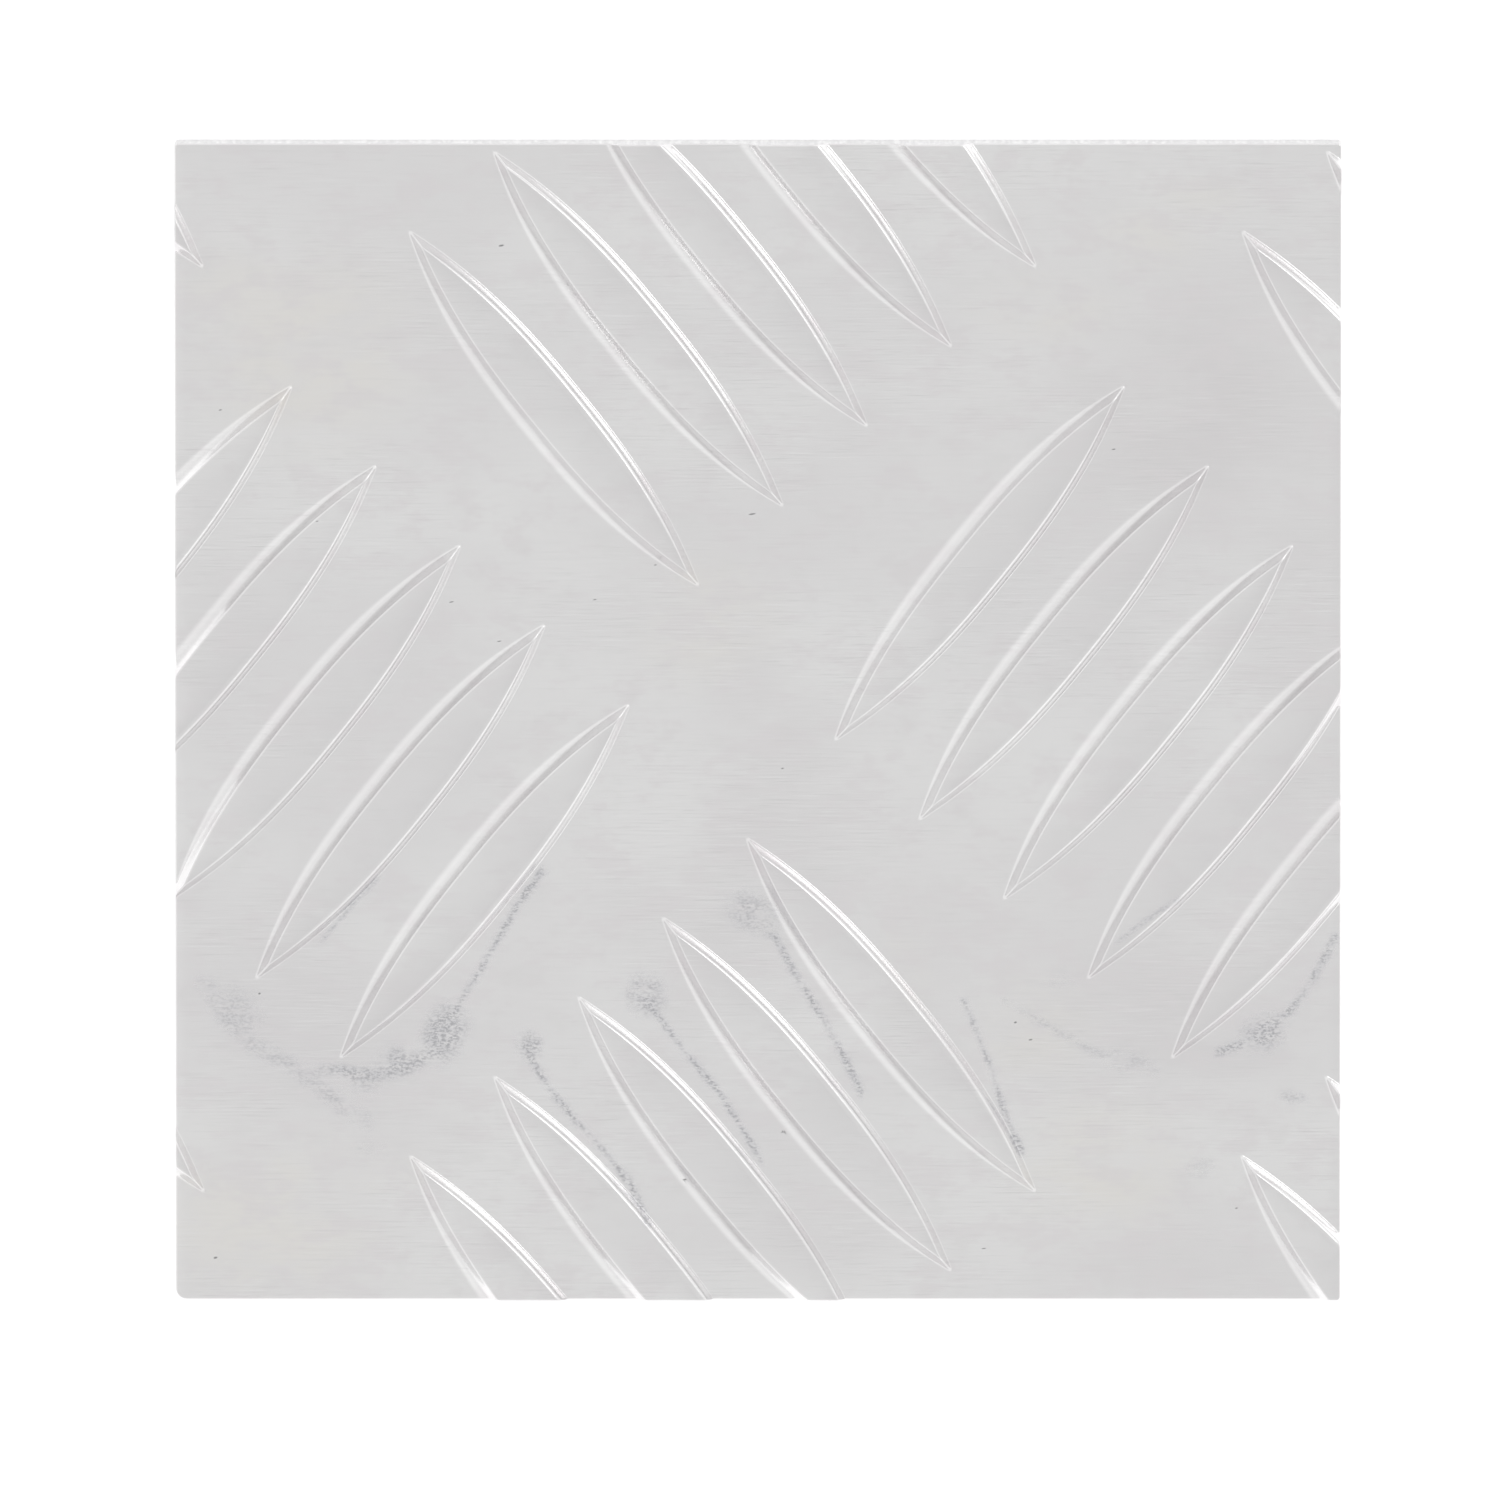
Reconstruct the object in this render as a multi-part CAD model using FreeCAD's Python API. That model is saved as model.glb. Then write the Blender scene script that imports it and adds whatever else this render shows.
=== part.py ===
import FreeCAD, Part
import math
import os

# Aluminium five-bar tread plate, cut as a square sample.
# One rolled sheet: a flat base with raised bars on its upper face. Millimetres.
# Frame: origin at the centre of the smooth underside, +Z up through the raised bars,
# +X along the rolling direction, +X and +Y along the cut edges.

# Sheet
SHEET_X = 100.0
SHEET_Y = 100.0
BASE_THICKNESS = 3.0
CORNER_RADIUS = 0.3
WORN_CORNER_RADIUS = 0.9

# Raised bar: a pointed lens in plan with a flat top. Rolling leaves its -X side with a soft
# hollow flank and its +X side with a full, steeper one. Widths are taken at mid-length,
# from the line through the bar's two tips.
BAR_LENGTH = 39.6
BAR_HEIGHT = 1.0
SOFT_SIDE_TOP = 2.1
STEEP_SIDE_TOP = 1.7
SOFT_FLANK = 1.37
STEEP_FLANK = 0.95
TIP_FLANK = 1.8
BAR_ANGLE = 51.0
FULLNESS = 2.5

# Section of the flanks from the foot up: share of the height, then the share of its spread
# that the soft flank, the steep flank and the tips still have there
SECTION = (
    (0.0, 1.0, 1.0, 1.0),
    (0.15, 0.62, 0.96, 0.85),
    (0.5, 0.3, 0.82, 0.6),
    (0.85, 0.1, 0.48, 0.28),
    (1.0, 0.0, 0.0, 0.0),
)

# Pattern: groups of parallel bars. Each leaning group is followed, across and down, by a
# group leaning the other way.
BARS_PER_GROUP = 5
BAR_STEP_X = 7.23
BAR_STEP_Y = 6.88
REPEAT_X = 71.4
REPEAT_Y = 80.0
LEFT_LEANING_CENTRE = (-3.0, 40.9)
RIGHT_LEANING_CENTRE = (33.5, 0.0)

CURVE_POINTS = 13
ORIGIN = FreeCAD.Vector(0, 0, 0)
UP = FreeCAD.Vector(0, 0, 1)
ACROSS = FreeCAD.Vector(0, 1, 0)


def lens_side(half_length, bulge, height):
    """One pointed side of the bar's plan. A positive bulge goes towards +Y."""
    points = []
    for i in range(CURVE_POINTS):
        run = -math.cos(math.pi * i / (CURVE_POINTS - 1))
        y = bulge * (1.0 - abs(run) ** FULLNESS)
        points.append(FreeCAD.Vector(run * half_length, y, height))
    curve = Part.BSplineCurve()
    curve.interpolate(points)
    return curve.toShape()


def lens_wire(share, soft, steep, tip):
    """The bar's outline at one height, with its soft flank towards +Y."""
    height = BASE_THICKNESS + share * BAR_HEIGHT
    half_length = BAR_LENGTH / 2 - TIP_FLANK * (1.0 - tip)
    soft_side = lens_side(half_length, SOFT_SIDE_TOP + soft * SOFT_FLANK, height)
    steep_side = lens_side(half_length, -STEEP_SIDE_TOP - steep * STEEP_FLANK, height)
    return Part.Wire([soft_side, steep_side])


def make_bar():
    """A raised bar rising to the right, its foot on the base's upper face."""
    wires = [lens_wire(*level) for level in SECTION]
    bar = Part.makeLoft(wires, True, False)
    bar.rotate(ORIGIN, UP, BAR_ANGLE)
    return bar


def repeats(sheet, repeat):
    """How many pattern repeats either side of the middle can reach onto the sheet."""
    count = math.ceil(sheet / 2 / repeat) + 1
    return range(-count, count + 1)


def group_bars(bar, centre, step_y):
    """Every bar of one set of groups."""
    bars = []
    for column in repeats(SHEET_X, REPEAT_X):
        for row in repeats(SHEET_Y, REPEAT_Y):
            for i in range(BARS_PER_GROUP):
                step = i - (BARS_PER_GROUP - 1) / 2
                x = centre[0] + column * REPEAT_X + step * BAR_STEP_X
                y = centre[1] + row * REPEAT_Y + step * step_y
                placed = bar.copy()
                placed.translate(FreeCAD.Vector(x, y, 0))
                bars.append(placed)
    return bars


def make_blank(thickness):
    """The cut outline of the sheet, from the underside up to the given thickness."""
    corner = FreeCAD.Vector(-SHEET_X / 2, -SHEET_Y / 2, 0)
    blank = Part.makeBox(SHEET_X, SHEET_Y, thickness, corner)
    worn_corner = corner + FreeCAD.Vector(0, 0, thickness / 2)
    upright = [e for e in blank.Edges if abs(e.CenterOfMass.z - thickness / 2) < 0.01]
    worn = [e for e in upright if (e.CenterOfMass - worn_corner).Length < 0.01]
    blank = blank.makeFillet(WORN_CORNER_RADIUS, worn)
    plain = []
    for edge in blank.Edges:
        middle = edge.CenterOfMass
        at_corner = abs(abs(middle.x) - SHEET_X / 2) < 0.01 and abs(abs(middle.y) - SHEET_Y / 2) < 0.01
        if at_corner and abs(middle.z - thickness / 2) < 0.01:
            plain.append(edge)
    return blank.makeFillet(CORNER_RADIUS, plain)


def make_plate():
    """The sheet: base and every bar that falls on it, cut off at the edges, as one solid."""
    right_leaning = make_bar()
    left_leaning = right_leaning.mirror(ORIGIN, ACROSS)
    bars = group_bars(left_leaning, LEFT_LEANING_CENTRE, BAR_STEP_Y)
    bars += group_bars(right_leaning, RIGHT_LEANING_CENTRE, -BAR_STEP_Y)
    outline = make_blank(BASE_THICKNESS + BAR_HEIGHT)
    on_sheet = []
    for placed in bars:
        if not placed.BoundBox.intersect(outline.BoundBox):
            continue
        clipped = placed.common(outline)
        if clipped.Volume > 0:
            on_sheet.append(clipped)
    plate = make_blank(BASE_THICKNESS).fuse(on_sheet)
    return plate.removeSplitter().Solids[0]


os.makedirs("parts", exist_ok=True)
plate = make_plate()
plate.exportStep("parts/checker_plate.step")
print("solids", len(plate.Solids), "valid", plate.isValid(), "volume", round(plate.Volume, 1))
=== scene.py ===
import math

import bpy
import numpy as np
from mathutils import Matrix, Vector
from mathutils.geometry import delaunay_2d_cdt


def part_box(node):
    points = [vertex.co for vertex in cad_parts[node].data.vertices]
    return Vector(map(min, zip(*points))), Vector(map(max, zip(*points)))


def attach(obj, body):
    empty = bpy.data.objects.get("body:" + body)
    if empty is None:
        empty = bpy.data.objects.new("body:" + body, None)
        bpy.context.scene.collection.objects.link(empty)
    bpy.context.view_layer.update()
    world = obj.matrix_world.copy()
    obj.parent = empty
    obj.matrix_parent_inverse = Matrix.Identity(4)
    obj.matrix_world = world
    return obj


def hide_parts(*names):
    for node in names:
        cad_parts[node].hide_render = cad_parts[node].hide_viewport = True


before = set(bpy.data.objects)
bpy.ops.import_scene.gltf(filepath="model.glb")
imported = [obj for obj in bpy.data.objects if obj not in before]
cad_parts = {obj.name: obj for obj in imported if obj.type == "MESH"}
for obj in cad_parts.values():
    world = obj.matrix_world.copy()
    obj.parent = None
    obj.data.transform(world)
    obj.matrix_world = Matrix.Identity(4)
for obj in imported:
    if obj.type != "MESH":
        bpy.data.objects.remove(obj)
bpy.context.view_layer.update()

MM = 0.001
low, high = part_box("checker_plate")
HALF_X = (high[0] - low[0]) / 2 / MM
HALF_Y = (high[1] - low[1]) / 2 / MM
TOP = high[2] / MM

# Sheet and bars, millimetres, as the part is built
BAR_HEIGHT = 1.0
BASE = TOP - BAR_HEIGHT
CORNER_RADIUS = 0.3
WORN_CORNER_RADIUS = 0.9
BAR_LENGTH = 39.6
SOFT_SIDE_TOP = 2.1
STEEP_SIDE_TOP = 1.7
SOFT_FLANK = 1.37
STEEP_FLANK = 0.95
TIP_FLANK = 1.8
BAR_ANGLE = math.radians(51.0)
FULLNESS = 2.5
BARS_PER_GROUP = 5
BAR_STEP = (7.23, 6.88)
REPEAT = (71.4, 80.0)
LEFT_LEANING_CENTRE = (-3.0, 40.9)
RIGHT_LEANING_CENTRE = (33.5, 0.0)

# Finish of the metal's corners
EDGE_BREAK = 0.14
ROUNDING = 0.09

# Spacing of the mesh: points on each side of a bar, and millimetres on the outline and the flat
RING_POINTS = 56
OUTLINE_STEP = 0.7
BASE_GRID = 1.1
SLOPE_STEP = 0.035

# The picture's frame: its width on the sheet, and how far its middle lies from the sheet's middle
FRAME_WIDTH = 128.7
FRAME_RIGHT = -0.686
FRAME_UP = -2.385
CAMERA_TILT = math.radians(7.5)
CAMERA_DISTANCE = 5.0

# The floor, under the plate by a hair so that the two faces don't coincide
FLOOR_HALF = 2.0
FLOOR_GAP = 0.1 * MM
FLOOR_LIFT = 0.36


def bar_list():
    """Centre and lean of every bar that reaches the sheet. Lean is +1 rising to the right."""
    bars = []
    reach = BAR_LENGTH / 2 + 2
    for centre, lean in ((LEFT_LEANING_CENTRE, -1), (RIGHT_LEANING_CENTRE, 1)):
        for column in (-1, 0, 1):
            for row in (-1, 0, 1):
                for i in range(BARS_PER_GROUP):
                    step = i - (BARS_PER_GROUP - 1) / 2
                    x = centre[0] + column * REPEAT[0] + step * BAR_STEP[0]
                    y = centre[1] + row * REPEAT[1] - lean * step * BAR_STEP[1]
                    if abs(x) < HALF_X + reach * 0.63 and abs(y) < HALF_Y + reach * 0.78:
                        bars.append((x, y, lean))
    return bars


def to_sheet(bar, s, t):
    """Sheet coordinates of points s along a bar and t across it, +t on its soft side."""
    x, y, lean = bar
    c = math.cos(BAR_ANGLE)
    n = math.sin(BAR_ANGLE)
    return x + s * c - t * n, y + lean * (s * n + t * c)


def to_bar(bar, x, y):
    """The reverse of to_sheet."""
    bx, by, lean = bar
    c = math.cos(BAR_ANGLE)
    n = math.sin(BAR_ANGLE)
    dx = x - bx
    dy = lean * (y - by)
    return dx * c + dy * n, -dx * n + dy * c


def soft_share(h):
    return 1.0 - np.sqrt(h)


def steep_share(h):
    return np.cbrt(1.0 - h)


def tip_share(h):
    return (1.0 - h) ** 0.75


def bar_height(bar, x, y):
    """Height of one bar's surface above the base, found by halving between its outlines."""
    s, t = to_bar(bar, x, y)
    s = np.abs(s)
    soft = t > 0
    t = np.abs(t)
    lo = np.zeros_like(s)
    hi = np.ones_like(s)

    def room(h):
        soft_width = SOFT_SIDE_TOP + SOFT_FLANK * soft_share(h)
        steep_width = STEEP_SIDE_TOP + STEEP_FLANK * steep_share(h)
        half = BAR_LENGTH / 2 - TIP_FLANK * (1.0 - tip_share(h))
        run = np.minimum(s / half, 1.5)
        return np.where(soft, soft_width, steep_width) * (1.0 - run ** FULLNESS) - t

    on_bar = room(np.zeros_like(s)) > 0
    on_top = room(np.full_like(s, 1.0)) > 0
    for _ in range(22):
        mid = (lo + hi) / 2
        above = room(mid) > 0
        lo = np.where(above, mid, lo)
        hi = np.where(above, hi, mid)
    h = np.where(on_top, 1.0, lo)
    return np.where(on_bar, h, 0.0) * BAR_HEIGHT


def raw_height(x, y, bars):
    z = np.zeros_like(x)
    reach = BAR_LENGTH / 2 + 1
    for bar in bars:
        near = np.hypot(x - bar[0], y - bar[1]) < reach
        if near.any():
            z[near] = np.maximum(z[near], bar_height(bar, x[near], y[near]))
    return z


def height(x, y, bars):
    """The rolled surface, its corners eased by averaging over a small disc."""
    total = raw_height(x, y, bars)
    weight = 1
    for share, count, turn in ((1.0, 9, 0.0), (0.72, 9, 0.35), (0.4, 6, 0.2)):
        radius = ROUNDING * share
        for k in range(count):
            a = turn + k * math.tau / count
            total += raw_height(x + radius * math.cos(a), y + radius * math.sin(a), bars)
        weight += count
    return total / weight


def outline(inset):
    """The cut outline, drawn in by inset, as a closed loop of points."""
    points = []
    corners = (
        (1, 1, CORNER_RADIUS),
        (-1, 1, CORNER_RADIUS),
        (-1, -1, WORN_CORNER_RADIUS),
        (1, -1, CORNER_RADIUS),
    )
    arcs = []
    for number, (sx, sy, radius) in enumerate(corners):
        cx = sx * (HALF_X - radius)
        cy = sy * (HALF_Y - radius)
        start = number * math.pi / 2
        r = radius - inset
        turns = [start + k * math.pi / 12 for k in range(7)]
        arcs.append([(cx + r * math.cos(a), cy + r * math.sin(a)) for a in turns])
    for number in range(4):
        arc = arcs[number]
        points += arc
        ax, ay = arc[-1]
        bx, by = arcs[(number + 1) % 4][0]
        count = int(math.hypot(bx - ax, by - ay) / OUTLINE_STEP)
        points += [(ax + (bx - ax) * k / count, ay + (by - ay) * k / count) for k in range(1, count)]
    return points


def edge_distance(x, y):
    """Distance in from the cut outline."""
    radius = np.where((x < 0) & (y < 0), WORN_CORNER_RADIUS, CORNER_RADIUS)
    px = np.abs(x) - (HALF_X - radius)
    py = np.abs(y) - (HALF_Y - radius)
    corner = radius - np.hypot(np.maximum(px, 0), np.maximum(py, 0))
    return np.where((px > 0) & (py > 0), corner, np.minimum(HALF_X - np.abs(x), HALF_Y - np.abs(y)))


def edge_drop(x, y):
    """How far the eased top edge falls below the surface."""
    share = np.clip(1.0 - edge_distance(x, y) / EDGE_BREAK, 0.0, 1.0)
    return EDGE_BREAK * (1.0 - np.sqrt(np.maximum(0.0, 1.0 - share * share * 0.93)))


def ring(bar, soft, steep, half):
    """One closed outline of a bar, given its two half-widths and its half-length."""
    points = []
    for side, width in ((1, soft), (-1, steep)):
        for k in range(RING_POINTS):
            u = -side * math.cos(math.pi * k / RING_POINTS)
            # points crowd gently towards the tips
            u = 0.5 * u + 0.5 * (-side + 2 * side * k / RING_POINTS)
            s = u * half
            t = side * width * (1.0 - abs(u) ** FULLNESS)
            points.append(to_sheet(bar, s, t))
    return points


def bar_rings(bar):
    """Outlines round one bar, from just outside its foot to just inside its top."""
    rings = []
    for out in (0.45, 0.16, 0.05):
        soft = SOFT_SIDE_TOP + SOFT_FLANK + out
        steep = STEEP_SIDE_TOP + STEEP_FLANK + out
        rings.append(ring(bar, soft, steep, BAR_LENGTH / 2 + out * 2.2))
    heights = (0.0, 0.004, 0.02, 0.06, 0.13, 0.23, 0.36, 0.5, 0.65, 0.73, 0.8, 0.86, 0.91, 0.95, 0.975, 0.995)
    for h in heights:
        soft = SOFT_SIDE_TOP + SOFT_FLANK * soft_share(h)
        steep = STEEP_SIDE_TOP + STEEP_FLANK * steep_share(h)
        rings.append(ring(bar, soft, steep, BAR_LENGTH / 2 - TIP_FLANK * (1.0 - tip_share(h))))
    for inner in (0.0, 0.06, 0.14, 0.3):
        half = BAR_LENGTH / 2 - TIP_FLANK - inner * 2.6
        rings.append(ring(bar, SOFT_SIDE_TOP - inner, STEEP_SIDE_TOP - inner, half))
    return rings


# Small nicks in the surface: place on the sheet, length and width
NICKS = (
    (-22.0, 41.2, 0.55, 0.2), (-46.1, 27.0, 0.35, 0.12), (-37.8, 17.5, 0.3, 0.1), (-0.5, 18.0, 0.75, 0.16),
    (30.5, 23.6, 0.4, 0.12), (-26.3, 10.4, 0.5, 0.12), (-22.2, 7.0, 0.45, 0.1), (-14.0, 10.6, 0.4, 0.1),
    (-8.8, 13.6, 0.3, 0.1), (2.1, -4.0, 0.3, 0.12), (-42.8, -23.5, 0.25, 0.2), (-46.6, -46.4, 0.4, 0.22),
    (-6.3, -39.6, 0.45, 0.14), (2.2, -35.5, 0.6, 0.1), (19.4, -45.6, 0.5, 0.1), (41.1, -42.1, 0.3, 0.12),
    (22.1, -26.0, 0.3, 0.2), (23.4, -27.5, 0.4, 0.15),
)
NICK_DEPTH = 0.035

# Grey handling stains: centre, half-size along and across, turn in degrees, strength
STAINS = (
    (-27.0, -27.0, 3.0, 1.9, 62, 1.0), (-31.0, -29.0, 2.4, 1.2, 10, 0.7),
    (-44.5, -25.0, 3.2, 3.0, -30, 0.5), (-19.6, -28.0, 1.3, 1.5, 0, 0.8),
    (-9.6, -23.6, 1.8, 2.1, 0, 0.85), (-0.4, -16.6, 3.0, 2.0, -30, 0.7), (-33.0, -37.0, 2.6, 1.4, 0, 0.4),
    (43.4, -26.8, 2.2, 1.6, 35, 1.0), (31.5, -29.4, 3.6, 1.4, -10, 0.5), (26.0, -22.4, 2.8, 1.4, 0, 0.4),
    (46.0, -32.4, 1.6, 0.8, 0, 0.6), (38.0, -38.6, 2.6, 1.0, 0, 0.5), (-34.0, -31.5, 3.0, 1.6, 0, 0.45),
)

# Dark speckled lines: half-width, strength, then the places the line passes through
DARK_SPECKLED_LINES = (
    (0.45, 1.0, (-18.6, -13.0), (-20.7, -15.9), (-22.6, -19.4),
     (-24.6, -22.7), (-26.4, -25.6), (-28.1, -28.9)),
    (1.0, 0.75, (-27.0, -28.0), (-30.0, -29.9), (-33.5, -30.6), (-37.6, -30.2)),
    (1.5, 0.5, (-47.5, -22.5), (-46.3, -25.0), (-43.5, -27.8),
     (-39.5, -30.0), (-36.6, -32.3), (-33.8, -34.6)),
    (0.4, 0.6, (-32.6, -13.5), (-35.0, -16.0), (-37.4, -18.9)),
    (0.45, 0.9, (-19.9, -28.3), (-18.7, -30.6), (-16.1, -34.0),
     (-13.3, -37.0), (-11.0, -40.0), (-9.5, -43.2)),
    (0.4, 1.0, (-9.9, -23.6), (-8.5, -25.6), (-6.5, -28.3), (-3.6, -31.7), (-1.4, -35.2), (0.2, -37.8)),
    (0.5, 0.85, (1.6, -18.8), (2.8, -21.1), (4.2, -23.4), (5.5, -25.6), (7.3, -28.8), (8.8, -31.9)),
    (0.5, 0.75, (17.6, -24.0), (18.6, -26.4), (20.0, -30.0), (21.2, -33.8), (22.7, -37.3)),
    (0.45, 0.5, (36.1, -15.2), (33.4, -16.9), (30.8, -18.9)),
    (0.6, 0.8, (49.6, -18.6), (48.0, -21.6), (45.8, -24.9), (43.0, -27.2), (39.6, -28.6)),
    (0.8, 0.45, (21.0, -24.0), (25.0, -26.4), (29.0, -28.6), (34.0, -30.4)),
)

# Broad changes of tone: centre, half-sizes, strength
WARM_PATCHES = (
    (-38.5, 32.0, 8.0, 7.0, 1.0), (-44.0, 37.0, 5.0, 3.5, 0.7), (-4.5, 8.6, 5.0, 4.6, 0.9),
    (24.6, 36.0, 5.0, 2.6, 0.8), (33.0, 41.7, 4.0, 2.4, 0.8), (38.0, 45.4, 3.4, 1.4, 0.6),
    (-42.0, -43.0, 8.0, 6.5, 1.0), (-33.0, -39.5, 5.0, 3.0, 0.5), (23.5, -26.5, 4.6, 3.8, 0.8),
    (29.5, -39.0, 6.4, 5.6, 1.0), (12.5, -21.5, 2.2, 5.0, 0.4),
)
DULL_PATCHES = (
    (36.0, 27.0, 10.0, 11.0, 1.0), (41.5, 36.5, 6.0, 4.0, 0.7), (2.0, -7.0, 6.5, 8.5, 0.8),
    (-0.5, 1.0, 3.0, 7.0, 0.6), (37.0, -27.0, 14.0, 6.5, 0.9), (-38.0, -26.5, 12.0, 6.0, 0.75),
    (-5.0, -19.0, 9.0, 6.0, 0.7), (47.0, 3.0, 4.0, 24.0, 0.5), (-31.0, -35.5, 6.0, 3.0, 0.6),
    (-46.0, 9.0, 4.0, 7.0, 0.4), (14.0, -15.0, 5.0, 7.0, 0.4), (4.0, -45.5, 9.0, 2.6, 0.5),
    (24.0, 41.0, 6.0, 4.0, 0.4), (-19.0, -22.0, 4.0, 6.0, 0.4), (36.0, -47.0, 12.0, 2.4, 0.5),
)


def blobs(x, y, places):
    """Soft-edged patches, from 0 to each one's strength."""
    total = np.zeros_like(x)
    for cx, cy, wide, tall, strength in places:
        spread = ((x - cx) / wide) ** 2 + ((y - cy) / tall) ** 2
        total = np.maximum(total, strength * np.exp(-0.8 * spread ** 1.5))
    return total


def stains_and_dark_lines(x, y):
    """Strength of the stain patches and the dark speckled lines at each point, from 0 to 1."""
    total = np.zeros_like(x)
    for cx, cy, along, across, turn, strength in STAINS:
        c = math.cos(math.radians(turn))
        n = math.sin(math.radians(turn))
        u = ((x - cx) * c + (y - cy) * n) / along
        v = (-(x - cx) * n + (y - cy) * c) / across
        total = np.maximum(total, strength * np.exp(-(u * u + v * v)))
    # dark speckled lines, drawn darker along each listed path
    for width, strength, *places in DARK_SPECKLED_LINES:
        for (x0, y0), (x1, y1) in zip(places, places[1:]):
            share = ((x - x0) * (x1 - x0) + (y - y0) * (y1 - y0)) / ((x1 - x0) ** 2 + (y1 - y0) ** 2)
            share = np.clip(share, 0.0, 1.0)
            away = np.hypot(x - x0 - share * (x1 - x0), y - y0 - share * (y1 - y0))
            line = np.exp(-(away / width / 0.55) ** 2) + 0.33 * np.exp(-(away / width / 2.2) ** 2)
            total = np.maximum(total, strength * np.minimum(line, 1.0))
    return total


def painted_shoulder_shade(x, y, bars):
    """Painted shade: a darker strip on a bar's top beside its steep side, standing in for a dark reflection
    there.
    """
    total = np.zeros_like(x)
    for bar in bars:
        s, t = to_bar(bar, x, y)
        run = np.minimum(np.abs(s) / (BAR_LENGTH / 2 - TIP_FLANK), 1.0)
        across = -t - STEEP_SIDE_TOP * (1.0 - run ** FULLNESS)
        inside = np.clip(1.0 + across / 1.3, 0.0, 1.0) * np.clip(0.5 - across / 0.12, 0.0, 1.0)
        total = np.maximum(total, np.where(run < 1.0, inside, 0.0))
    return total


def nick_depth(x, y):
    """How deep each point lies in a nick, from 0 at its rim to 1 and a little over."""
    total = np.zeros_like(x)
    for cx, cy, length, width in NICKS:
        shape = ((x - cx) / length * 2) ** 2 + ((y - cy - 0.15 * (x - cx)) / width * 2) ** 2
        total = np.maximum(total, np.clip(1.25 - shape, 0.0, 1.0))
    return total


def plan_mesh(bars):
    """The sheet seen from above, cut into triangles along the bars' outlines."""
    points = []
    edges = []

    def add_loop(loop):
        start = len(points)
        points.extend(loop)
        count = len(loop)
        edges.extend((start + k, start + (k + 1) % count) for k in range(count))

    for inset in (0.0, 0.02, 0.06, EDGE_BREAK):
        add_loop(outline(inset))
    for bar in bars:
        for loop in bar_rings(bar):
            base = len(points)
            index = {}
            for k, p in enumerate(loop):
                if abs(p[0]) < HALF_X + 0.8 and abs(p[1]) < HALF_Y + 0.8:
                    index[k] = base + len(index)
                    points.append(p)
            for k in index:
                after = (k + 1) % len(loop)
                if after in index:
                    edges.append((index[k], index[after]))
    grid_x = np.arange(-HALF_X + 1.0, HALF_X - 0.5, BASE_GRID)
    grid_y = np.arange(-HALF_Y + 1.0, HALF_Y - 0.5, BASE_GRID)
    gx, gy = np.meshgrid(grid_x, grid_y)
    gx = gx.ravel()
    gy = gy.ravel()
    free = np.ones(len(gx), bool)
    for bar in bars:
        s, t = to_bar(bar, gx, gy)
        run = np.minimum(np.abs(s) / (BAR_LENGTH / 2 + 1.6), 1.0)
        free &= np.abs(t) > (SOFT_SIDE_TOP + SOFT_FLANK + 0.8) * (1.0 - run ** FULLNESS)
    points.extend(zip(gx[free].tolist(), gy[free].tolist()))
    for cx, cy, length, width in NICKS:
        points.append((cx, cy))
        for k in range(12):
            a = k * math.pi / 6
            for share in (0.25, 0.45, 0.62):
                dx = share * length * math.cos(a)
                points.append((cx + dx, cy + 0.15 * dx + share * width * math.sin(a)))
    for width, strength, *places in DARK_SPECKLED_LINES:
        for (x0, y0), (x1, y1) in zip(places, places[1:]):
            run = math.hypot(x1 - x0, y1 - y0)
            for k in range(round(run / 0.5) + 1):
                share = k * 0.5 / run
                for out in (-1.6, -0.8, 0.0, 0.8, 1.6):
                    side = out * width / run
                    points.append((x0 + share * (x1 - x0) - side * (y1 - y0),
                                   y0 + share * (y1 - y0) + side * (x1 - x0)))
    flat = [Vector(p) for p in points]
    verts, _, faces, _, _, _ = delaunay_2d_cdt(flat, edges, [], 0, 1e-5)
    xy = np.array([(v.x, v.y) for v in verts])
    tris = np.array(faces)
    centre = xy[tris].mean(axis=1)
    tris = tris[edge_distance(centre[:, 0], centre[:, 1]) > 1e-4]
    a, b, c = (xy[tris[:, k]] for k in range(3))
    area = (b[:, 0] - a[:, 0]) * (c[:, 1] - a[:, 1]) - (b[:, 1] - a[:, 1]) * (c[:, 0] - a[:, 0])
    tris[area < 0] = tris[area < 0][:, ::-1]
    used = np.unique(tris)
    remap = np.full(len(xy), -1)
    remap[used] = np.arange(len(used))
    return xy[used], remap[tris]


def boundary_loop(tris):
    """The outer rim of the plan, in order."""
    pairs = np.concatenate([tris[:, [0, 1]], tris[:, [1, 2]], tris[:, [2, 0]]])
    seen = {(int(a), int(b)) for a, b in pairs}
    onward = {a: b for a, b in seen if (b, a) not in seen}
    start = min(onward)
    loop = [start]
    while onward[loop[-1]] != start:
        loop.append(onward[loop[-1]])
    return loop


def top_normals(x, y, bars):
    """Normals from the surface's own slope, for clean reflections."""
    e = SLOPE_STEP
    zx = (height(x + e, y, bars) - height(x - e, y, bars)) / (2 * e)
    zy = (height(x, y + e, bars) - height(x, y - e, bars)) / (2 * e)
    zx -= (edge_drop(x + e, y) - edge_drop(x - e, y)) / (2 * e)
    zy -= (edge_drop(x, y + e) - edge_drop(x, y - e)) / (2 * e)
    normals = np.stack([-zx, -zy, np.ones_like(zx)], axis=1)
    return normals / np.linalg.norm(normals, axis=1)[:, None]


def rim_directions(rx, ry):
    """Unit vectors that point straight out from the rim."""
    out_x = rx - np.clip(rx, -HALF_X + 1, HALF_X - 1)
    out_y = ry - np.clip(ry, -HALF_Y + 1, HALF_Y - 1)
    ahead_x = np.roll(rx, -1) - np.roll(rx, 1)
    ahead_y = np.roll(ry, -1) - np.roll(ry, 1)
    size = np.hypot(ahead_x, ahead_y)
    side = np.stack([ahead_y / size, -ahead_x / size, np.zeros(len(rx))], axis=1)
    if (side[:, 0] * out_x + side[:, 1] * out_y).mean() < 0:
        side = -side
    return side


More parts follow.
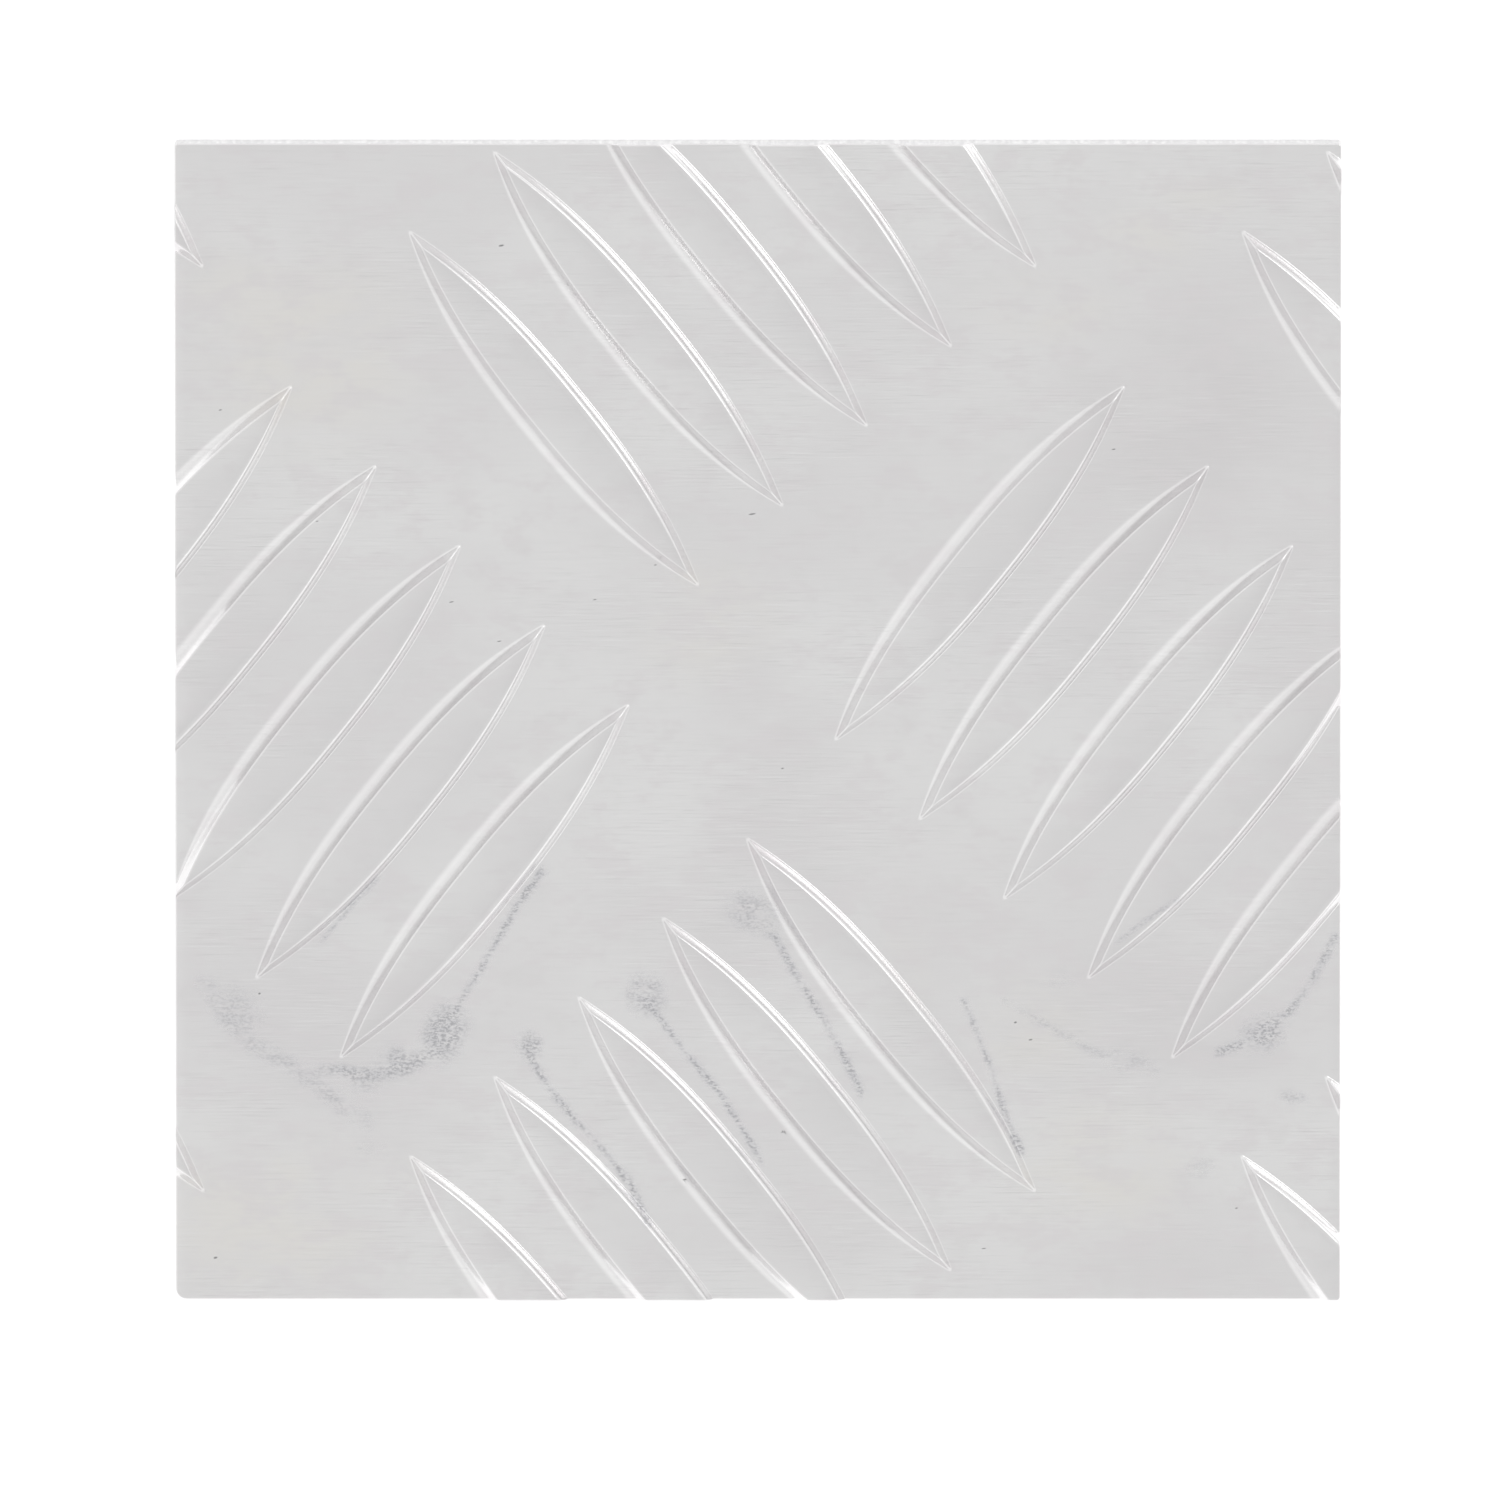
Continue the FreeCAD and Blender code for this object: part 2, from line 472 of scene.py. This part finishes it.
def build_plate():
    bars = bar_list()
    xy, tris = plan_mesh(bars)
    x = xy[:, 0]
    y = xy[:, 1]
    nicked = nick_depth(x, y)
    z = BASE + height(x, y, bars) - edge_drop(x, y) - NICK_DEPTH * nicked
    normals = top_normals(x, y, bars)

    verts = [tuple(v) for v in np.stack([x, y, z], axis=1)]
    loops = [[tuple(n) for n in normals[tri]] for tri in tris]
    faces = [tuple(int(i) for i in tri) for tri in tris]
    kinds = [0] * len(faces)

    # the cut wall, then two narrow bands that ease the bottom edge, then the smooth back
    rim = boundary_loop(tris)
    count = len(rim)
    rx = x[rim]
    ry = y[rim]
    side = rim_directions(rx, ry)
    first = len(verts)
    rows = [rim] + [list(range(first + row * count, first + (row + 1) * count)) for row in range(3)]
    for cut_in, level in ((0.0, EDGE_BREAK), (EDGE_BREAK * 0.3, EDGE_BREAK * 0.3), (EDGE_BREAK, 0.0)):
        verts += [(rx[k] - side[k, 0] * cut_in, ry[k] - side[k, 1] * cut_in, level) for k in range(count)]
    tilts = (0.0, 0.0, 0.8, 1.0)
    down = Vector((0.0, 0.0, -1.0))
    for band in range(3):
        for k in range(count):
            after = (k + 1) % count
            corners = ((band, after), (band, k), (band + 1, k), (band + 1, after))
            faces.append(tuple(rows[row][who] for row, who in corners))
            corner_normals = []
            for row, who in corners:
                out = Vector((side[who, 0], side[who, 1], 0.0))
                n = out * (1.0 - tilts[row]) + down * tilts[row]
                corner_normals.append(tuple(n.normalized()))
            loops.append(corner_normals)
            kinds.append(1 if band == 0 else 0)
    faces.append(tuple(reversed(rows[3])))
    loops.append([tuple(down)] * count)
    kinds.append(0)

    mesh = bpy.data.meshes.new("rolled_plate")
    mesh.from_pydata([(a * MM, b * MM, c * MM) for a, b, c in verts], [], faces)
    mesh.validate()
    mesh.polygons.foreach_set("material_index", kinds)
    mesh.polygons.foreach_set("use_smooth", [True] * len(faces))
    mesh.normals_split_custom_set([n for loop in loops for n in loop])
    painted = (
        ("stains_and_dark_lines", stains_and_dark_lines(x, y)),
        ("nick", nicked),
        ("warm", blobs(x, y, WARM_PATCHES)),
        ("dull", blobs(x, y, DULL_PATCHES)),
        # painted shade on each bar's top beside its steep side
        ("painted_shade", painted_shoulder_shade(x, y, bars)),
    )
    for name, values in painted:
        layer = mesh.attributes.new(name, "FLOAT", "POINT")
        full = np.zeros(len(verts), dtype=np.float32)
        full[:len(x)] = values
        layer.data.foreach_set("value", full)
    mesh.update()
    plate = bpy.data.objects.new("rolled_plate", mesh)
    bpy.context.scene.collection.objects.link(plate)
    return plate


class Graph:
    """Short names for building a material's nodes."""

    def __init__(self, name):
        self.material = bpy.data.materials.new(name)
        self.material.use_nodes = True
        self.nodes = self.material.node_tree.nodes
        self.links = self.material.node_tree.links
        self.shader = self.nodes["Principled BSDF"]
        coords = self.nodes.new("ShaderNodeTexCoord")
        self.place = coords.outputs["Object"]

    def feed(self, socket, value):
        if isinstance(value, bpy.types.NodeSocket):
            self.links.new(value, socket)
        else:
            socket.default_value = value

    def math(self, kind, a, b=0.0, c=0.0):
        node = self.nodes.new("ShaderNodeMath")
        node.operation = kind
        for socket, value in zip(node.inputs, (a, b, c)):
            self.feed(socket, value)
        return node.outputs[0]

    def stretched(self, scale, shift):
        node = self.nodes.new("ShaderNodeMapping")
        self.links.new(self.place, node.inputs["Vector"])
        node.inputs["Scale"].default_value = [s / MM for s in scale]
        node.inputs["Location"].default_value = shift
        return node.outputs[0]

    def noise(self, scale, detail, rough, shift=(0.0, 0.0, 0.0), warp=0.0):
        """Noise with so many features a millimetre along each axis."""
        node = self.nodes.new("ShaderNodeTexNoise")
        self.links.new(self.stretched(scale, shift), node.inputs["Vector"])
        node.inputs["Scale"].default_value = 1.0
        node.inputs["Detail"].default_value = detail
        node.inputs["Roughness"].default_value = rough
        node.inputs["Distortion"].default_value = warp
        return node.outputs["Fac"]

    def painted(self, name):
        """One of the plate's own layers, such as its stains."""
        node = self.nodes.new("ShaderNodeAttribute")
        node.attribute_name = name
        return node.outputs["Fac"]

    def ramp(self, value, low, high, out_low=0.0, out_high=1.0):
        node = self.nodes.new("ShaderNodeMapRange")
        node.interpolation_type = "SMOOTHSTEP"
        self.feed(node.inputs["Value"], value)
        limits = (("From Min", low), ("From Max", high), ("To Min", out_low), ("To Max", out_high))
        for name, number in limits:
            node.inputs[name].default_value = number
        return node.outputs["Result"]

    def mix(self, share, a, b):
        node = self.nodes.new("ShaderNodeMix")
        node.data_type = "RGBA"
        self.feed(node.inputs[0], share)
        for socket, value in ((node.inputs[6], a), (node.inputs[7], b)):
            if isinstance(value, bpy.types.NodeSocket):
                self.links.new(value, socket)
            else:
                socket.default_value = (*value, 1.0)
        return node.outputs[2]

    def bump(self, value, strength, distance, before=None):
        node = self.nodes.new("ShaderNodeBump")
        node.inputs["Strength"].default_value = strength
        node.inputs["Distance"].default_value = distance
        self.links.new(value, node.inputs["Height"])
        if before is not None:
            self.links.new(before, node.inputs["Normal"])
        return node.outputs["Normal"]


def rolled_aluminium():
    """Bright rolled metal: cloudy tones, rolling streaks, then stains, dark speckled lines and nicks over
    them.
    """
    g = Graph("rolled_aluminium")
    s = g.shader
    s.inputs["Metallic"].default_value = 1.0
    s.inputs["Specular Tint"].default_value = (0.86, 0.86, 0.865, 1.0)
    cloud = g.noise((0.04, 0.06, 0.05), 3.0, 0.55, shift=(3.1, 7.7, 0.0))
    mottle = g.noise((0.11, 0.2, 0.1), 4.0, 0.6, shift=(11.3, 2.2, 0.0))
    pink = g.noise((0.22, 0.4, 0.1), 4.0, 0.65, shift=(5.3, 19.2, 0.0))
    blotch = g.noise((0.4, 0.45, 0.4), 3.0, 0.6, shift=(6.6, 1.4, 0.0))
    patch = g.noise((0.05, 0.09, 0.1), 2.0, 0.5, shift=(8.8, 0.9, 0.0))
    streak = g.noise((0.2, 6.0, 1.0), 4.0, 0.7, warp=0.25)
    fine = g.noise((0.6, 13.0, 1.0), 2.0, 0.6, shift=(1.7, 0.4, 0.0))
    grit = g.noise((5.0, 9.0, 6.0), 2.0, 0.6)
    speck = g.noise((2.6, 4.6, 4.0), 3.0, 0.75, shift=(2.7, 5.4, 0.0))
    smear = g.noise((0.3, 3.0, 1.0), 3.0, 0.65, shift=(9.1, 3.3, 0.0))

    worked = g.ramp(patch, 0.42, 0.62)
    base = g.mix(g.ramp(cloud, 0.36, 0.66), (0.862, 0.853, 0.855), (0.9, 0.896, 0.894))
    ragged = g.ramp(mottle, 0.36, 0.6, 0.25, 1.0)
    warm = g.math("MULTIPLY", g.painted("warm"), ragged)
    base = g.mix(g.math("MULTIPLY", warm, 0.9), base, (0.893, 0.876, 0.846))
    dull = g.math("MULTIPLY", g.painted("dull"), g.ramp(mottle, 0.62, 0.36, 0.45, 1.0))
    base = g.mix(g.math("MULTIPLY", dull, 0.9), base, (0.815, 0.797, 0.803))
    base = g.mix(g.math("MULTIPLY", g.ramp(pink, 0.47, 0.64), 0.6), base, (0.85, 0.825, 0.834))
    base = g.mix(g.math("MULTIPLY", g.ramp(blotch, 0.5, 0.7), 0.22), base, (0.82, 0.815, 0.81))
    dark = g.math("MULTIPLY", g.ramp(streak, 0.52, 0.76), g.math("MULTIPLY_ADD", worked, 0.3, 0.16))
    base = g.mix(dark, base, (0.68, 0.675, 0.675))
    pale = g.math("MULTIPLY", g.ramp(streak, 0.48, 0.26), g.math("MULTIPLY_ADD", worked, 0.55, 0.2))
    base = g.mix(pale, base, (0.93, 0.93, 0.928))
    # painted shade: darkens each bar's top beside its steep side, in place of a dark reflection
    painted_shade = g.math("MULTIPLY", g.painted("painted_shade"), g.ramp(mottle, 0.35, 0.62, 0.2, 0.6))
    base = g.mix(painted_shade, base, (0.77, 0.76, 0.765))

    # stain patches and dark speckled lines, which darken the colour where they lie
    stains_and_dark_lines = g.painted("stains_and_dark_lines")
    broken = g.math("MULTIPLY", stains_and_dark_lines, g.ramp(blotch, 0.32, 0.6, 0.6, 1.15))
    dots = g.math("MULTIPLY", g.ramp(speck, 0.45, 0.58), g.ramp(broken, 0.2, 0.95))
    haze = g.math("MULTIPLY", g.ramp(broken, 0.0, 0.9), g.ramp(smear, 0.4, 0.58, 0.1, 0.9))
    base = g.mix(haze, base, (0.755, 0.75, 0.768))
    base = g.mix(g.math("MULTIPLY", dots, 0.75), base, (0.44, 0.44, 0.46))
    nick = g.painted("nick")
    base = g.mix(g.ramp(nick, 0.2, 0.9, 0.0, 0.85), base, (0.30, 0.30, 0.30))
    g.feed(s.inputs["Base Color"], base)

    rough = g.math("MULTIPLY_ADD", streak, 0.08, 0.17)
    rough = g.math("MULTIPLY_ADD", grit, 0.04, rough)
    rough = g.math("MULTIPLY_ADD", stains_and_dark_lines, 0.12, rough)
    g.feed(s.inputs["Roughness"], rough)
    wave = g.noise((0.09, 0.15, 0.1), 2.0, 0.5, shift=(0.7, 4.1, 0.0))
    normal = g.bump(wave, 0.4, 0.00005)
    normal = g.bump(streak, 0.3, 0.000004, normal)
    normal = g.bump(fine, 0.3, 0.0000005, normal)
    normal = g.bump(grit, 0.25, 0.0000003, normal)
    g.feed(s.inputs["Normal"], normal)
    return g.material


def cut_edge():
    """The cut wall, with fine lines that run down it."""
    g = Graph("cut_aluminium")
    s = g.shader
    s.inputs["Metallic"].default_value = 1.0
    lines = g.noise((2.5, 2.5, 0.25), 3.0, 0.65)
    grain = g.noise((7.0, 7.0, 7.0), 3.0, 0.6)
    base = g.mix(g.ramp(lines, 0.35, 0.7), (0.70, 0.695, 0.70), (0.86, 0.855, 0.855))
    g.feed(s.inputs["Base Color"], base)
    g.feed(s.inputs["Roughness"], g.math("MULTIPLY_ADD", grain, 0.2, 0.3))
    normal = g.bump(lines, 0.6, 0.00006)
    normal = g.bump(grain, 0.4, 0.00002, normal)
    g.feed(s.inputs["Normal"], normal)
    return g.material


def make_floor():
    """A pale floor, seen white directly or in the metal, which keeps the shadow.

    It is clear from below and to what all but touches it, so the plate's back can be seen and is lit.
    """
    mesh = bpy.data.meshes.new("floor")
    r = FLOOR_HALF
    z = -FLOOR_GAP
    mesh.from_pydata([(-r, -r, z), (r, -r, z), (r, r, z), (-r, r, z)], [], [(0, 1, 2, 3)])
    floor = bpy.data.objects.new("floor", mesh)
    bpy.context.scene.collection.objects.link(floor)
    g = Graph("pale_floor")
    s = g.shader
    s.inputs["Base Color"].default_value = (0.93, 0.93, 0.93, 1.0)
    s.inputs["Roughness"].default_value = 0.9
    s.inputs["Specular IOR Level"].default_value = 0.0
    seen = g.nodes.new("ShaderNodeLightPath")
    shown = g.math("MAXIMUM", seen.outputs["Is Camera Ray"], seen.outputs["Is Glossy Ray"])
    shown = g.math("MAXIMUM", shown, seen.outputs["Is Transmission Ray"])
    s.inputs["Emission Color"].default_value = (1.0, 1.0, 1.0, 1.0)
    g.feed(s.inputs["Emission Strength"], g.math("MULTIPLY", shown, FLOOR_LIFT))
    near = g.math("LESS_THAN", seen.outputs["Ray Length"], 6 * FLOOR_GAP)
    turned = g.nodes.new("ShaderNodeNewGeometry")
    both = g.nodes.new("ShaderNodeMixShader")
    g.feed(both.inputs[0], g.math("MAXIMUM", near, turned.outputs["Backfacing"]))
    g.feed(both.inputs[1], s.outputs[0])
    g.feed(both.inputs[2], g.nodes.new("ShaderNodeBsdfTransparent").outputs[0])
    g.feed(g.nodes["Material Output"].inputs["Surface"], both.outputs[0])
    mesh.materials.append(g.material)


def area_light(name, place, size_x, size_y, watts):
    """A rectangular lamp that faces the middle of the plate."""
    lamp = bpy.data.lights.new(name, "AREA")
    lamp.shape = "RECTANGLE"
    lamp.size = size_x
    lamp.size_y = size_y
    lamp.energy = watts
    holder = bpy.data.objects.new(name, lamp)
    holder.location = place
    holder.rotation_euler = (-Vector(place)).to_track_quat("-Z", "Y").to_euler()
    bpy.context.scene.collection.objects.link(holder)


def make_world():
    """A soft white tent, a little dimmer overhead and just to the right of it."""
    world = bpy.data.worlds.new("studio")
    world.use_nodes = True
    nodes = world.node_tree.nodes
    links = world.node_tree.links
    back = nodes["Background"]
    back.inputs["Color"].default_value = (1.0, 1.0, 1.0, 1.0)
    coords = nodes.new("ShaderNodeTexCoord")
    aim = nodes.new("ShaderNodeVectorMath")
    aim.operation = "DOT_PRODUCT"
    aim.inputs[1].default_value = Vector((0.31, -0.08, 0.95)).normalized()
    links.new(coords.outputs["Generated"], aim.inputs[0])
    angle = nodes.new("ShaderNodeMath")
    angle.operation = "ARCCOSINE"
    links.new(aim.outputs["Value"], angle.inputs[0])
    share = nodes.new("ShaderNodeMath")
    share.operation = "DIVIDE"
    share.inputs[1].default_value = math.pi / 2
    links.new(angle.outputs[0], share.inputs[0])
    level = nodes.new("ShaderNodeValToRGB")
    level.color_ramp.interpolation = "EASE"
    steps = ((0.0, 0.712), (0.76, 0.95), (1.0, 0.89))
    ends = level.color_ramp.elements
    while len(ends) < len(steps):
        ends.new(0.5)
    for end, (place, value) in zip(ends, steps):
        end.position = place
        end.color = (value, value, value, 1.0)
    links.new(share.outputs[0], level.inputs["Fac"])
    seen = nodes.new("ShaderNodeLightPath")
    white = nodes.new("ShaderNodeMath")
    white.operation = "MAXIMUM"
    links.new(level.outputs["Color"], white.inputs[0])
    links.new(seen.outputs["Is Camera Ray"], white.inputs[1])
    links.new(white.outputs[0], back.inputs["Strength"])
    bpy.context.scene.world = world


def make_camera():
    """Long lens, 7.5 degrees past overhead, so that the far cut edge just shows."""
    camera = bpy.data.cameras.new("camera")
    camera.sensor_width = 36.0
    camera.lens = camera.sensor_width * CAMERA_DISTANCE / (FRAME_WIDTH * MM)
    camera.clip_start = 0.1
    camera.clip_end = 50.0
    camera.shift_x = FRAME_RIGHT / FRAME_WIDTH
    camera.shift_y = FRAME_UP / FRAME_WIDTH
    holder = bpy.data.objects.new("camera", camera)
    middle = Vector((0.0, 0.0, BASE * MM))
    view = Vector((0.0, math.sin(CAMERA_TILT), math.cos(CAMERA_TILT)))
    holder.location = middle + view * CAMERA_DISTANCE
    holder.rotation_euler = (-CAMERA_TILT, 0.0, 0.0)
    bpy.context.scene.collection.objects.link(holder)
    bpy.context.scene.camera = holder


plate = build_plate()
plate.data.materials.append(rolled_aluminium())
plate.data.materials.append(cut_edge())
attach(plate, "root")
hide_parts("checker_plate")

make_floor()
make_world()
make_camera()
area_light("key", (0.357, 0.289, 0.386), 0.14, 0.12, 0.15)
area_light("side", (0.37, -0.33, 0.34), 0.2, 0.14, 0.045)
bpy.context.scene.view_settings.view_transform = "Standard"
